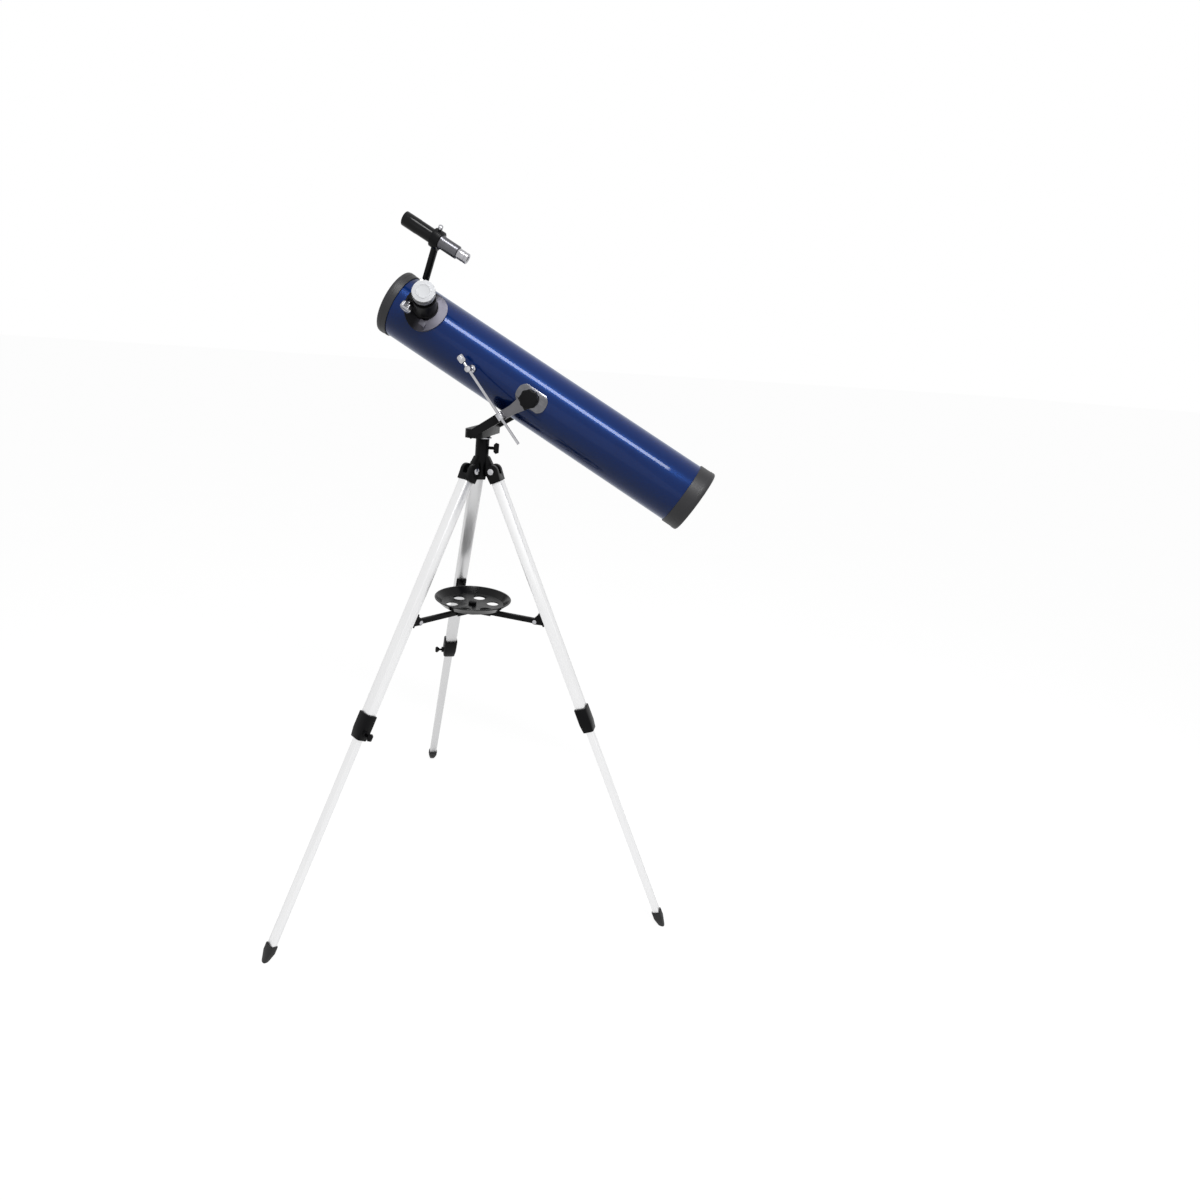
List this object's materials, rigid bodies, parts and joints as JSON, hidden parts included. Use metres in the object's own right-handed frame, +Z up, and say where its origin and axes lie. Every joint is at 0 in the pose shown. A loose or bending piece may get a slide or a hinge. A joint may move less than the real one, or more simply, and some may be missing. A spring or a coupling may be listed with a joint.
{
  "type": "newtonian reflector telescope",
  "caption": "Small Newtonian reflector on an alt-azimuth yoke with a slow-motion rod, finder, rack focuser and folding aluminium tripod with a tray.",
  "frame": {"origin": "on the floor, at the middle of the feet's box", "axes": "+Z up; +Y towards the back leg; the tube's open end points up and towards -X"},
  "size_m": [0.8246, 0.716, 1.3472],
  "materials": {
    "black_plastic": "satin black moulding",
    "aluminium": "satin anodised",
    "chrome": "polished",
    "blue_enamel": "gloss deep blue metallic enamel",
    "rubber": "matt",
    "mirror_glass": "front-silvered",
    "white_plastic": "satin white",
    "matt_black": "matt black"
  },
  "bodies": {
    "stand": {"tripod_hub": "black_plastic"},
    "leg_left": {"leg_bracket_left": "black_plastic", "hinge_bolt_left": "chrome", "upper_leg_left": "aluminium", "leg_clamp_left": "black_plastic", "brace_bracket_left": "black_plastic"},
    "lower_leg_left": {"lower_leg_left": "aluminium", "foot_tip_left": "rubber"},
    "clamp_screw_left": {"clamp_screw_left": "black_plastic"},
    "brace_arm_left": {"brace_arm_left": "black_plastic"},
    "leg_right": {"leg_bracket_right": "black_plastic", "hinge_bolt_right": "chrome", "upper_leg_right": "aluminium", "leg_clamp_right": "black_plastic", "brace_bracket_right": "black_plastic"},
    "lower_leg_right": {"lower_leg_right": "aluminium", "foot_tip_right": "rubber"},
    "clamp_screw_right": {"clamp_screw_right": "black_plastic"},
    "brace_arm_right": {"brace_arm_right": "black_plastic"},
    "leg_back": {"leg_bracket_back": "black_plastic", "hinge_bolt_back": "chrome", "upper_leg_back": "aluminium", "leg_clamp_back": "black_plastic", "brace_bracket_back": "black_plastic"},
    "lower_leg_back": {"lower_leg_back": "aluminium", "foot_tip_back": "rubber"},
    "clamp_screw_back": {"clamp_screw_back": "black_plastic"},
    "brace_arm_back": {"brace_arm_back": "black_plastic"},
    "spreader": {"spreader_hub": "black_plastic", "accessory_tray": "black_plastic"},
    "tray_screw": {"tray_screw": "black_plastic"},
    "azimuth_lock_knob": {"azimuth_lock_knob": "black_plastic"},
    "yoke": {"yoke": "black_plastic", "azimuth_spindle": "chrome"},
    "tube": {"main_tube": "blue_enamel", "front_ring": "black_plastic", "rear_ring": "black_plastic", "mirror_cell": "black_plastic", "primary_mirror": "mirror_glass", "spider": "matt_black", "secondary_mirror": "mirror_glass", "cradle_plate_near": "chrome", "cradle_plate_far": "chrome", "rod_stud": "chrome", "focuser_body": "black_plastic", "finder_bracket": "black_plastic", "finder_tube": "black_plastic"},
    "altitude_knob_near": {"altitude_knob_near": "black_plastic"},
    "altitude_knob_far": {"altitude_knob_far": "black_plastic"},
    "rod": {"slow_motion_rod": "chrome"},
    "rod_knob": {"rod_knob": "chrome"},
    "rod_swivel": {"rod_swivel": "chrome"},
    "drawtube": {"drawtube": "chrome"},
    "focus_knob": {"focus_knob": "black_plastic"},
    "drawtube_cap": {"drawtube_cap": "white_plastic"},
    "finder_screw": {"finder_screw": "chrome"},
    "finder_eyepiece": {"finder_eyepiece": "black_plastic"},
    "collimation_screw_1": {"collimation_screw_1": "chrome"},
    "collimation_screw_2": {"collimation_screw_2": "chrome"},
    "collimation_screw_3": {"collimation_screw_3": "chrome"}
  },
  "joints": [
    {"name": "fold_left", "type": "hinge", "parent": "stand", "child": "leg_left", "pos_m": [-0.02252, -0.13, 0.91432], "axis": [0.5, -0.866, 0], "range_deg": [0, 7]},
    {"name": "extend_left", "type": "slide", "parent": "leg_left", "child": "lower_leg_left", "axis": [0.3769, 0.2176, 0.9003], "range_m": [0, 0.38]},
    {"name": "clamp_turn_left", "type": "hinge", "parent": "leg_left", "child": "clamp_screw_left", "pos_m": [-0.22579, -0.24736, 0.42878], "axis": [0.5, -0.866, 0], "range_deg": [0, 360]},
    {"name": "brace_swing_left", "type": "hinge", "parent": "leg_left", "child": "brace_arm_left", "pos_m": [-0.11661, -0.18433, 0.62752], "axis": [0.5, -0.866, 0], "range_deg": [0, 41.55]},
    {"name": "fold_right", "type": "hinge", "parent": "stand", "child": "leg_right", "pos_m": [0.02252, -0.13, 0.91432], "axis": [0.5, 0.866, 0], "range_deg": [0, 7]},
    {"name": "extend_right", "type": "slide", "parent": "leg_right", "child": "lower_leg_right", "axis": [-0.3769, 0.2176, 0.9003], "range_m": [0, 0.38]},
    {"name": "clamp_turn_right", "type": "hinge", "parent": "leg_right", "child": "clamp_screw_right", "pos_m": [0.22579, -0.24736, 0.42878], "axis": [0.5, 0.866, 0], "range_deg": [0, 360]},
    {"name": "brace_swing_right", "type": "hinge", "parent": "leg_right", "child": "brace_arm_right", "pos_m": [0.11661, -0.18433, 0.62752], "axis": [0.5, 0.866, 0], "range_deg": [0, 41.55]},
    {"name": "fold_back", "type": "hinge", "parent": "stand", "child": "leg_back", "pos_m": [0, -0.091, 0.91432], "axis": [-1, 0, 0], "range_deg": [0, 7]},
    {"name": "extend_back", "type": "slide", "parent": "leg_back", "child": "lower_leg_back", "axis": [0, -0.4352, 0.9003], "range_m": [0, 0.38]},
    {"name": "clamp_turn_back", "type": "hinge", "parent": "leg_back", "child": "clamp_screw_back", "pos_m": [0, 0.14372, 0.42878], "axis": [-1, 0, 0], "range_deg": [0, 360]},
    {"name": "brace_swing_back", "type": "hinge", "parent": "leg_back", "child": "brace_arm_back", "pos_m": [0, 0.01765, 0.62752], "axis": [-1, 0, 0], "range_deg": [0, 41.55]},
    {"name": "spreader_lift", "type": "slide", "parent": "stand", "child": "spreader", "axis": [0, 0, 1], "range_m": [0, 0.06548]},
    {"name": "tray_screw_turn", "type": "hinge", "parent": "spreader", "child": "tray_screw", "pos_m": [0, -0.117, 0.63832], "axis": [0, 0, 1], "range_deg": [0, 360]},
    {"name": "azimuth_lock_turn", "type": "hinge", "parent": "stand", "child": "azimuth_lock_knob", "pos_m": [0.0125, -0.12058, 0.95632], "axis": [0.9613, -0.2756, 0], "range_deg": [0, 360]},
    {"name": "azimuth", "type": "hinge", "parent": "stand", "child": "yoke", "pos_m": [0, -0.117, 0.97332], "axis": [0, 0, 1], "continuous": true},
    {"name": "altitude", "type": "hinge", "parent": "yoke", "child": "tube", "pos_m": [0.08941, -0.16178, 1.056], "axis": [0.4478, 0.8942, 0], "range_deg": [-22, 38]},
    {"name": "altitude_knob_turn_near", "type": "hinge", "parent": "yoke", "child": "altitude_knob_near", "pos_m": [0.05449, -0.23152, 1.056], "axis": [-0.4478, -0.8942, 0], "range_deg": [0, 360]},
    {"name": "altitude_knob_turn_far", "type": "hinge", "parent": "yoke", "child": "altitude_knob_far", "pos_m": [0.12434, -0.09203, 1.056], "axis": [0.4478, 0.8942, 0], "range_deg": [0, 360]},
    {"name": "rod_tilt", "type": "hinge", "parent": "tube", "child": "rod", "pos_m": [-0.04647, -0.1832, 1.09896], "axis": [0.4478, 0.8942, 0], "range_deg": [-1.3, 0.8]},
    {"name": "swivel_slide", "type": "slide", "parent": "rod", "child": "rod_swivel", "axis": [0.5706, -0.2857, -0.7699], "range_m": [-0.0225, 0.0385]},
    {"name": "rod_knob_turn", "type": "hinge", "parent": "rod", "child": "rod_knob", "pos_m": [-0.05674, -0.17806, 1.11282], "axis": [-0.5706, 0.2857, 0.7699], "continuous": true},
    {"name": "drawtube_slide", "type": "slide", "parent": "tube", "child": "drawtube", "axis": [-0.1888, -0.8836, 0.4285], "range_m": [-0.008, 0.028]},
    {"name": "focus_turn", "type": "hinge", "parent": "tube", "child": "focus_knob", "pos_m": [-0.13831, -0.12012, 1.21428], "axis": [-0.583, -0.2502, -0.773], "range_deg": [-80, 270]},
    {"name": "cap_pull", "type": "slide", "parent": "drawtube", "child": "drawtube_cap", "axis": [-0.1888, -0.8836, 0.4285], "range_m": [0, 0.02]},
    {"name": "finder_screw_turn", "type": "hinge", "parent": "tube", "child": "finder_screw", "pos_m": [-0.1052, -0.14439, 1.30462], "axis": [0.1592, -0.6048, 0.7803], "range_deg": [0, 360]},
    {"name": "finder_focus", "type": "hinge", "parent": "tube", "child": "finder_eyepiece", "pos_m": [-0.06015, -0.16695, 1.27794], "axis": [-0.7902, 0.3957, 0.4679], "range_deg": [-180, 180]},
    {"name": "collimation_turn_1", "type": "hinge", "parent": "tube", "child": "collimation_screw_1", "pos_m": [0.37399, -0.30428, 0.93049], "axis": [-0.7902, 0.3957, 0.4679], "range_deg": [-180, 180]},
    {"name": "collimation_turn_2", "type": "hinge", "parent": "tube", "child": "collimation_screw_2", "pos_m": [0.36488, -0.26291, 0.88011], "axis": [-0.7902, 0.3957, 0.4679], "range_deg": [-180, 180]},
    {"name": "collimation_turn_3", "type": "hinge", "parent": "tube", "child": "collimation_screw_3", "pos_m": [0.33541, -0.32176, 0.88011], "axis": [-0.7902, 0.3957, 0.4679], "range_deg": [-180, 180]}
  ],
  "couplings": [
    {"joint": "brace_swing_left", "follows": "fold_left", "ratio": 5.9291},
    {"joint": "brace_swing_right", "follows": "fold_left", "ratio": 5.9291},
    {"joint": "fold_right", "follows": "fold_left", "ratio": 1},
    {"joint": "brace_swing_back", "follows": "fold_left", "ratio": 5.9291},
    {"joint": "fold_back", "follows": "fold_left", "ratio": 1},
    {"joint": "spreader_lift", "follows": "fold_left", "m_per_rad": 0.53431},
    {"joint": "rod_tilt", "follows": "altitude", "ratio": -0.03025},
    {"joint": "swivel_slide", "follows": "altitude", "m_per_rad": 0.057523},
    {"joint": "focus_turn", "follows": "drawtube_slide", "rad_per_m": 166.67}
  ]
}
